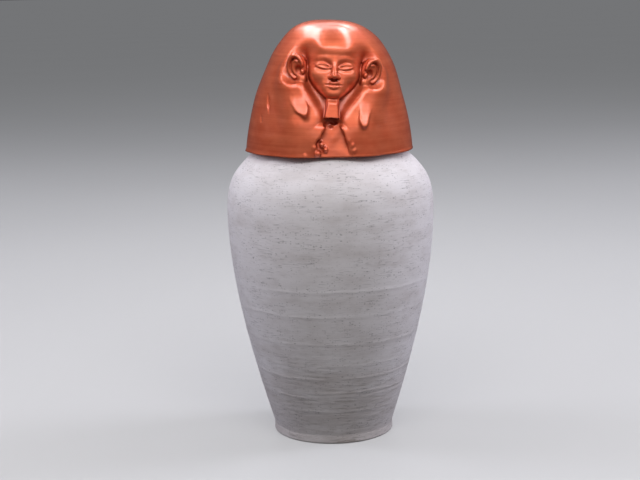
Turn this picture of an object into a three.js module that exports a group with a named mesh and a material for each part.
// A printed canopic jar in two loose pieces: a hollow round-shouldered jar, and a lid carved as a head
// in a plain wig, with a short beard below the chin and a plug that drops into the jar's mouth.
// Millimetres, +Z up. The origin is the centre of the jar's underside, and the face looks along -Y.
import * as THREE from "three";

const { clamp, degToRad, lerp, smoothstep } = THREE.MathUtils;

// Jar
const JAR_HEIGHT = 139;
const WALL = 3.2;
const FLOOR = 4;
const FOOT_RADIUS = 29.3;
const FOOT_HEIGHT = 4; // the short upright band above the table
const FOOT_ROUND = 1;
const FOOT_PULL = 1; // how far the side keeps on upright above the foot
const BELLY_RADIUS = 50;
const BELLY_HEIGHT = 110; // where the jar is widest
const BELLY_PULL_DOWN = 45.5;
const BELLY_PULL_UP = 16.7;
const RIM_RADIUS = 36; // outer edge of the flat rim that the lid rests on
const RIM_PULL = [8.9, 8.5]; // how far the shoulder's last stretch aims out and down from the rim
const MOUTH_RADIUS = 27.5;
const NECK_DEPTH = 4.5;
const JAR_SIDES = 40;
const CURVE_STEPS = 5;

// Lid
const SEAT_GAP = 0.3; // between the jar's rim and the lid's underside
const LID_RADIUS = 40;
const LID_HEIGHT = 61.2;
const PLUG_CLEARANCE = 1;
const PLUG_RADIUS = MOUTH_RADIUS - PLUG_CLEARANCE;
const PLUG_DEPTH = 6;
const PLUG_CHAMFER = 1;
const LID_SIDES = 86;
const FRONT_CROWDING = 0.6; // how much closer the columns stand at the face than at the back
const SKIRT_RINGS = [0, 3, 6.5, 10, 13, 15.5];
const HEAD_RING_STEP = 1.25;
const CROWN_RINGS = [52, 54.2, 56.4, 58.3, 59.8, 60.8];

// The wig's dome has the half-section
// (radius / LID_RADIUS) ^ WALL_POWER + (height / LID_HEIGHT) ^ CROWN_POWER = 1.
const WALL_POWER = 2.95;
const CROWN_POWER = 1.34;
// Its front half is drawn out over the face by two shares, each of which grows between two heights.
const SKIRT_DRAWN_OUT = { share: 0.03, from: 0, to: 10 };
const BROW_DRAWN_OUT = { share: 0.19, from: 20, to: 46 };

// The head leans to its left about the beard's tip. The lean fades in from the hem.
const LEAN = degToRad(4.5);
const LEAN_PIVOT = 17;
const LEAN_STARTS = 4;

// Heights on the lid, from its seat.
const CHEST_TOP = 14;
const BEARD_TIP = 17.6;
const WEDGE_TOP = 25.1;
const HOLLOW_FLOOR = 16;
const CHIN = 30.5;
const HOLLOW_WIDENS_UNTIL = 36;
const WIG_EDGE = 48;

// Rounded forms on the lid's right half, each stop [x, y, z, radius].
const LAPPET = [
  [18.5, -24.5, 36, 4.4],
  [18.2, -25.2, 31, 5.4],
  [15, -28.6, 20, 6.4],
  [13.6, -30.3, 13, 6.4],
  [15, -30.5, 2, 6],
];
const FOREHEAD = { centre: [0, -22.6, 46.5], radii: [10.5, 10.4, 8] };
const ABOVE_EAR = { centre: [15, -32.4, 46.3], radii: [7.5, 7.4, 5] };

// The lappets' flat, leaf-shaped crests. Both look up, forwards and out to their own side.
const CREST_FACES = new THREE.Vector3(0.33, -0.82, 0.46).normalize();
const CREST_THICKNESS = 7.2;
const LEFT_CREST = { middle: [-14.4, -34.9, 24.3], leansOut: 0.5, halfWidth: 3.2, halfLength: 7.4 };
const RIGHT_CREST = { middle: [15.2, -35.4, 20], leansOut: 0.17, halfWidth: 2.5, halfLength: 8.2 };

// Hollow, beard and chest: half-widths, and how far their faces stand from the axis, low and high.
const HOLLOW_HALF_WIDTH = [3.6, 13];
const HOLLOW_FLARE = 0.4; // how much wider the hollow gets for each millimetre out from its back
const HOLLOW_BACK = [34.8, 29.2];
const WIG_EDGE_SAG = 0.02;
const ROOT_HALF_WIDTH = 2.9;
const ROOT_FRONT = 35.8;
const WEDGE_HALF_WIDTH = [3.3, 2.1];
const WEDGE_FRONT = [39.3, 37.4];
const BEARD_BACK = 20;
const CHEST_HALF_WIDTH = [9.8, 3.6];
const CHEST_FRONT = [38.7, 36.2];

// Face: forms as [across, up, out] from a point between the eyes, on a plane that leans back.
const FACE_CENTRE = [0, -34.4, 40.6];
const FACE_TILT = degToRad(8);
const FACE_SIZE = 1.15; // of the forms below, which are drawn at size 1
const SKULL = { centre: [0, 1.2, -11], radii: [11.8, 14, 11.5] };
const MUZZLE = { centre: [0, -6.9, -2], radii: [4.8, 4, 3] };
const EYE_SOCKET = { centre: [4.5, 0.5, 0.9], radii: [3.5, 1.8, 1.9] };
const EYE = { centre: [4.4, 0.25, -1.9], radii: [3, 1.7, 2.3] };
const CHIN_BALL = { centre: [0, -10.5, -0.6], radii: [2.6, 1.7, 1.8] };
const JAW = [
  [8.2, -2, -7.6, 2.3],
  [2, -9.9, -2.2, 2.1],
];
const NOSE = [
  [0, 2.6, -0.6, 0.8],
  [0, 0.6, 0.2, 0.9],
  [0, -3.6, 2.1, 1.4],
];
const LIPS = [
  [0, -7.1, 0.9, 1],
  [2.8, -7, 0, 0.5],
];

// Ear: forms as [across, up, out] from its middle, on a plane turned out to the side.
const EAR_CENTRE = [17.2, -29.4, 38.6];
const EAR_UP = new THREE.Vector3(0.2, 0, 0.98).normalize();
const EAR_OUT = new THREE.Vector3(0.46, -0.88, -0.08).normalize();
const EAR_ACROSS = new THREE.Vector3().crossVectors(EAR_UP, EAR_OUT).normalize();
const EAR_POCKET = { centre: [1, 1.8, 1.8], radii: [6.2, 7.9, 3.6] };
const EAR_PLATE = { centre: [0, 0.4, -1.6], radii: [4.8, 6.8, 3.6] };
const EAR_LOBE = { centre: [-1.6, -5.2, -0.7], radii: [1.9, 1.9, 1.6] };
const EAR_BOWL = { centre: [-0.3, 0.9, 1.8], radii: [2.7, 4, 2.2] };

const MARBLED_COLOUR = 0xc9c6c8;
const COPPER_COLOUR = 0xc0603c;
const MATTE_ROUGHNESS = 0.75;
const SILK_ROUGHNESS = 0.35;
const SILK_METALNESS = 0.5;

/** Half-section of the hollow jar: out from the axis, up the outside and back down the inside. */
function jarSection() {
  const section = new THREE.Path();
  section.moveTo(0, 0);
  section.lineTo(FOOT_RADIUS - FOOT_ROUND, 0);
  section.quadraticCurveTo(FOOT_RADIUS, 0, FOOT_RADIUS, FOOT_ROUND);
  section.lineTo(FOOT_RADIUS, FOOT_HEIGHT);
  const outside = sidePoints(0, FOOT_HEIGHT, JAR_HEIGHT);
  section.bezierCurveTo(...outside.footPull, ...outside.bellyPullDown, ...outside.belly);
  section.bezierCurveTo(...outside.bellyPullUp, ...outside.rimPull, ...outside.rim);
  section.lineTo(MOUTH_RADIUS, JAR_HEIGHT);
  const inside = sidePoints(WALL, FLOOR, JAR_HEIGHT - NECK_DEPTH);
  section.lineTo(MOUTH_RADIUS, inside.rim[1]);
  section.lineTo(...inside.rim);
  section.bezierCurveTo(...inside.rimPull, ...inside.bellyPullUp, ...inside.belly);
  section.bezierCurveTo(...inside.bellyPullDown, ...inside.footPull, ...inside.foot);
  section.lineTo(0, FLOOR);
  return section.getPoints(CURVE_STEPS);
}

/** Ends and pulls of the side's two curves, pushed in from the outline by inset. */
function sidePoints(inset, bottom, top) {
  const foot = [FOOT_RADIUS - inset, bottom];
  const belly = [BELLY_RADIUS - inset, BELLY_HEIGHT];
  const rim = [RIM_RADIUS - inset, top];
  return {
    foot,
    belly,
    rim,
    footPull: [foot[0], foot[1] + FOOT_PULL],
    bellyPullDown: [belly[0], belly[1] - BELLY_PULL_DOWN],
    bellyPullUp: [belly[0], belly[1] + BELLY_PULL_UP],
    rimPull: [rim[0] + RIM_PULL[0], rim[1] - RIM_PULL[1]],
  };
}

/** Half-section of the uncarved lid: plug, flat seat, then the wig's dome up to the crown. */
function lidSection() {
  const plug = [
    [0, -PLUG_DEPTH],
    [PLUG_RADIUS - PLUG_CHAMFER, -PLUG_DEPTH],
    [PLUG_RADIUS, PLUG_CHAMFER - PLUG_DEPTH],
    [PLUG_RADIUS, 0],
  ];
  const rings = [...SKIRT_RINGS];
  while (rings.at(-1) + HEAD_RING_STEP < CROWN_RINGS[0]) rings.push(rings.at(-1) + HEAD_RING_STEP);
  rings.push(...CROWN_RINGS);
  const wig = rings.map((height) => [domeRadius(height), height]);
  return {
    points: [...plug, ...wig, [0, LID_HEIGHT]].map((point) => new THREE.Vector2(...point)),
    firstCarved: plug.length,
    lastCarved: plug.length + wig.length - 1,
  };
}

function domeRadius(height) {
  return LID_RADIUS * (1 - (height / LID_HEIGHT) ** CROWN_POWER) ** (1 / WALL_POWER);
}

// Signed distances from a point [x, y, z] on the lid, negative inside.

/** Both solids as one, with a fillet of the given softness between them. */
function joined(a, b, softness) {
  const overlap = Math.max(softness - Math.abs(a - b), 0) / softness;
  return Math.min(a, b) - (overlap * overlap * softness) / 4;
}

/** Only what both solids share, with the edge between them rounded. */
function shared(a, b, softness) {
  return -joined(-a, -b, softness);
}

function cutFrom(body, tool, softness) {
  return shared(body, -tool, softness);
}

function egg(p, { centre, radii }) {
  const q = p.map((value, i) => (value - centre[i]) / radii[i]);
  const near = Math.hypot(...q);
  const slope = Math.hypot(...q.map((value, i) => value / radii[i]));
  return (near * (near - 1)) / Math.max(slope, 1e-6);
}

/** A round rod through stops of [x, y, z, radius]. */
function rod(p, stops) {
  let nearest = Infinity;
  for (let i = 1; i < stops.length; i++) {
    const [a, b] = [stops[i - 1], stops[i]];
    const run = [b[0] - a[0], b[1] - a[1], b[2] - a[2]];
    const way = [p[0] - a[0], p[1] - a[1], p[2] - a[2]];
    const dot = way[0] * run[0] + way[1] * run[1] + way[2] * run[2];
    const along = clamp(dot / (run[0] ** 2 + run[1] ** 2 + run[2] ** 2), 0, 1);
    const gap = Math.hypot(way[0] - run[0] * along, way[1] - run[1] * along, way[2] - run[2] * along);
    nearest = Math.min(nearest, gap - lerp(a[3], b[3], along));
  }
  return nearest;
}

/** The plain dome, with its front half drawn out over the face, so that its crown is an egg in plan. */
function wig([x, y, z]) {
  const drawnOut = ({ share, from, to }) => share * smoothstep(z, from, to);
  const share = y < 0 ? drawnOut(SKIRT_DRAWN_OUT) + drawnOut(BROW_DRAWN_OUT) : 0;
  const r = Math.max(Math.hypot(x, y * (1 - share)), 1e-6) / LID_RADIUS;
  const h = Math.max(z, 1e-6) / LID_HEIGHT;
  const level = r ** WALL_POWER + h ** CROWN_POWER - 1;
  const steepness = Math.hypot(
    (WALL_POWER / LID_RADIUS) * r ** (WALL_POWER - 1),
    (CROWN_POWER / LID_HEIGHT) * h ** (CROWN_POWER - 1),
  );
  return level / steepness;
}

function crest(p, { middle, leansOut, halfWidth, halfLength }) {
  const side = Math.sign(middle[0]);
  const faces = CREST_FACES.clone().multiply(new THREE.Vector3(side, 1, 1));
  const up = new THREE.Vector3(side * leansOut, 0, 1);
  up.setY(-up.dot(faces) / faces.y).normalize();
  const way = new THREE.Vector3(...p).sub(new THREE.Vector3(...middle));
  const across = way.dot(up.clone().cross(faces));
  const leaf = (Math.hypot(across / halfWidth, way.dot(up) / halfLength) - 1) * halfWidth;
  const slab = Math.abs(way.dot(faces) + CREST_THICKNESS / 2 - 0.6) - CREST_THICKNESS / 2;
  return shared(leaf, slab, 1);
}

/** The hollow that the face stands in: wide at the temples and closing to the beard's sides. */
function faceHollow([x, y, z]) {
  const rise = smoothstep(z, HOLLOW_FLOOR, HOLLOW_WIDENS_UNTIL);
  const back = y + lerp(...HOLLOW_BACK, rise);
  const sides = x - lerp(...HOLLOW_HALF_WIDTH, rise) + HOLLOW_FLARE * Math.min(back, 0);
  const roof = z - WIG_EDGE + WIG_EDGE_SAG * x * x;
  return Math.max(shared(shared(sides, roof, 3.5), back, 2.5), HOLLOW_FLOOR - z);
}

/** The flat tapering chest between the two lappets, below the beard. */
function chestHollow([x, y, z]) {
  const rise = clamp(z / CHEST_TOP, 0, 1);
  const sides = x - lerp(...CHEST_HALF_WIDTH, rise);
  const back = y + lerp(...CHEST_FRONT, rise);
  return Math.max(shared(sides, back, 1), z - BEARD_TIP);
}

/** A short false beard: a narrow root under the chin, then a wedge that widens to its flat tip. */
function beard([x, y, z]) {
  const root = Math.max(shared(x - ROOT_HALF_WIDTH, -y - ROOT_FRONT, 1), z - CHIN);
  const rise = clamp((z - BEARD_TIP) / (WEDGE_TOP - BEARD_TIP), 0, 1);
  const sides = x - lerp(...WEDGE_HALF_WIDTH, rise);
  const front = -y - lerp(...WEDGE_FRONT, rise);
  const wedge = shared(shared(sides, front, 0.8), z - WEDGE_TOP, 1);
  return Math.max(joined(root, wedge, 0.8), BEARD_TIP - z, y + BEARD_BACK);
}

function face([x, y, z]) {
  const out = FACE_CENTRE[1] - y;
  const up = z - FACE_CENTRE[2];
  const [c, s] = [Math.cos(FACE_TILT), Math.sin(FACE_TILT)];
  const p = [x, up * c - out * s, out * c + up * s].map((value) => value / FACE_SIZE);
  let head = joined(egg(p, SKULL), rod(p, JAW), 4);
  head = joined(head, egg(p, MUZZLE), 2.5);
  head = cutFrom(head, egg(p, EYE_SOCKET), 1.6);
  head = joined(head, egg(p, EYE), 0.6);
  head = joined(head, rod(p, NOSE), 1.2);
  head = joined(head, rod(p, LIPS), 0.6);
  return joined(head, egg(p, CHIN_BALL), 1.6) * FACE_SIZE;
}

/** A point as [across, up, out] from the ear's middle. */
function onEar(p) {
  const way = new THREE.Vector3(...p).sub(new THREE.Vector3(...EAR_CENTRE));
  return [way.dot(EAR_ACROSS), way.dot(EAR_UP), way.dot(EAR_OUT)];
}

function ear(q) {
  const shell = joined(egg(q, EAR_PLATE), egg(q, EAR_LOBE), 1.2);
  return cutFrom(shell, egg(q, EAR_BOWL), 0.6);
}

/** The whole carved outside of the lid. */
function carving([x, y, z]) {
  const fade = smoothstep(z, LEAN_STARTS, LEAN_PIVOT);
  const [c, s] = [Math.cos(LEAN), Math.sin(LEAN)];
  const height = z - LEAN_PIVOT;
  const across = lerp(x, x * c - height * s, fade);
  const p = [Math.abs(across), y, lerp(z, LEAN_PIVOT + x * s + height * c, fade)];
  let body = wig([x, y, z]);
  if (y > -6) return body;
  body = joined(body, rod(p, LAPPET), 5);
  body = joined(body, Math.min(crest([x, y, z], LEFT_CREST), crest([x, y, z], RIGHT_CREST)), 1.5);
  body = cutFrom(body, egg(p, ABOVE_EAR), 4);
  body = cutFrom(body, egg(onEar(p), EAR_POCKET), 3.5);
  body = cutFrom(body, faceHollow(p), 4);
  body = cutFrom(body, chestHollow([Math.abs(x), y, z]), 0.8);
  body = joined(body, ear(onEar(p)), 0.8);
  body = joined(body, face(p), 0.5 + 4 * smoothstep(p[2], 43, 50));
  body = joined(body, egg(p, FOREHEAD), 3);
  return joined(body, beard(p), 0.5);
}

/** Slides a point of the uncarved dome along a spoke from the axis until it lies on the carving. */
function carve(point) {
  const forward = smoothstep(-point.y / Math.hypot(point.x, point.y), 0, 1);
  const drop = 25 * Math.max(0, (point.z - 38) / 24) ** 1.5;
  const hub = new THREE.Vector3(0.6 * forward * point.x, 0, point.z - drop);
  const spoke = point.clone().sub(hub);
  const at = (reach) => hub.clone().addScaledVector(spoke, reach);
  const isOutside = (reach) => carving(at(reach).toArray()) > 0;
  const stride = 0.03;
  let outer = 1.45;
  while (isOutside(outer - stride)) outer -= stride;
  let inner = outer - stride;
  for (let halvings = 0; halvings < 16; halvings++) {
    const middle = (inner + outer) / 2;
    if (isOutside(middle)) outer = middle;
    else inner = middle;
  }
  return at(inner);
}

/** Moves a point back onto the carving, straight along the surface's own direction. */
function press(point) {
  const reach = 0.02;
  const depth = carving(point.toArray());
  const rise = (axis) => {
    const stepped = point.toArray();
    stepped[axis] += reach;
    return (carving(stepped) - depth) / reach;
  };
  const uphill = new THREE.Vector3(rise(0), rise(1), rise(2));
  const push = clamp(depth, -0.6, 0.6) / Math.max(uphill.lengthSq(), 0.2);
  point.addScaledVector(uphill, -push);
}

/** Evens out the carved points: each moves towards its four neighbours, then is pressed back. */
function settle(columns, first, last) {
  const rounds = 12;
  for (let round = 0; round < rounds; round++) {
    const before = columns.map((column) => column.map((point) => point.clone()));
    columns.forEach((column, i) => {
      const left = before.at(i - 1);
      const right = before[(i + 1) % columns.length];
      for (let j = first + 1; j <= last; j++) {
        const sum = left[j].clone().add(right[j]).add(before[i][j - 1]).add(before[i][j + 1]);
        column[j].lerp(sum.divideScalar(4), 0.5);
        press(column[j]);
      }
    });
  }
}

function jarGeometry() {
  return new THREE.LatheGeometry(jarSection(), JAR_SIDES).rotateX(Math.PI / 2);
}

function lidGeometry() {
  const { points, firstCarved, lastCarved } = lidSection();
  const geometry = new THREE.LatheGeometry(points, LID_SIDES).rotateX(Math.PI / 2);
  const place = geometry.attributes.position;
  const columns = [];
  for (let i = 0; i < LID_SIDES; i++) {
    const turn = (i / LID_SIDES) * 2 * Math.PI;
    const crowded = turn - FRONT_CROWDING * Math.sin(turn);
    const [across, back] = [Math.sin(crowded), -Math.cos(crowded)];
    const spots = points.map(({ x, y }) => new THREE.Vector3(x * across, x * back, y));
    columns.push(spots.map((spot, j) => (j < firstCarved || j > lastCarved ? spot : carve(spot))));
  }
  settle(columns, firstCarved, lastCarved);
  for (let i = 0; i <= LID_SIDES; i++) {
    const column = columns[i % LID_SIDES];
    column.forEach(({ x, y, z }, j) => place.setXYZ(i * points.length + j, x, y, z));
  }
  turnDiagonals(geometry, columns, firstCarved, lastCarved);
  return geometry;
}

/** Splits each four-cornered face along the diagonal whose middle lies nearer the carving. */
function turnDiagonals(geometry, columns, first, last) {
  const rings = columns[0].length;
  const miss = (a, b) => Math.abs(carving(a.clone().lerp(b, 0.5).toArray()));
  const corners = [];
  for (let i = 0; i < columns.length; i++) {
    const right = columns[(i + 1) % columns.length];
    for (let j = 0; j < rings - 1; j++) {
      const [a, b, c, d] = [i * rings + j, (i + 1) * rings + j, (i + 1) * rings + j + 1, i * rings + j + 1];
      const isCarved = j >= first && j < last;
      const isTurned = isCarved && miss(columns[i][j], right[j + 1]) < miss(right[j], columns[i][j + 1]);
      if (j === 0) corners.push(b, c, d);
      else if (j === rings - 2) corners.push(a, b, d);
      else if (isTurned) corners.push(a, b, c, a, c, d);
      else corners.push(a, b, d, b, c, d);
    }
  }
  geometry.setIndex(corners);
}

function plastic(color, roughness, metalness) {
  return new THREE.MeshStandardMaterial({ color, roughness, metalness });
}

const jar = new THREE.Mesh(jarGeometry(), plastic(MARBLED_COLOUR, MATTE_ROUGHNESS, 0));
jar.name = "jar";

const lid = new THREE.Mesh(lidGeometry(), plastic(COPPER_COLOUR, SILK_ROUGHNESS, SILK_METALNESS));
lid.name = "lid";
lid.position.z = JAR_HEIGHT + SEAT_GAP;

const canopicJar = new THREE.Group();
canopicJar.add(jar, lid);

export default canopicJar;
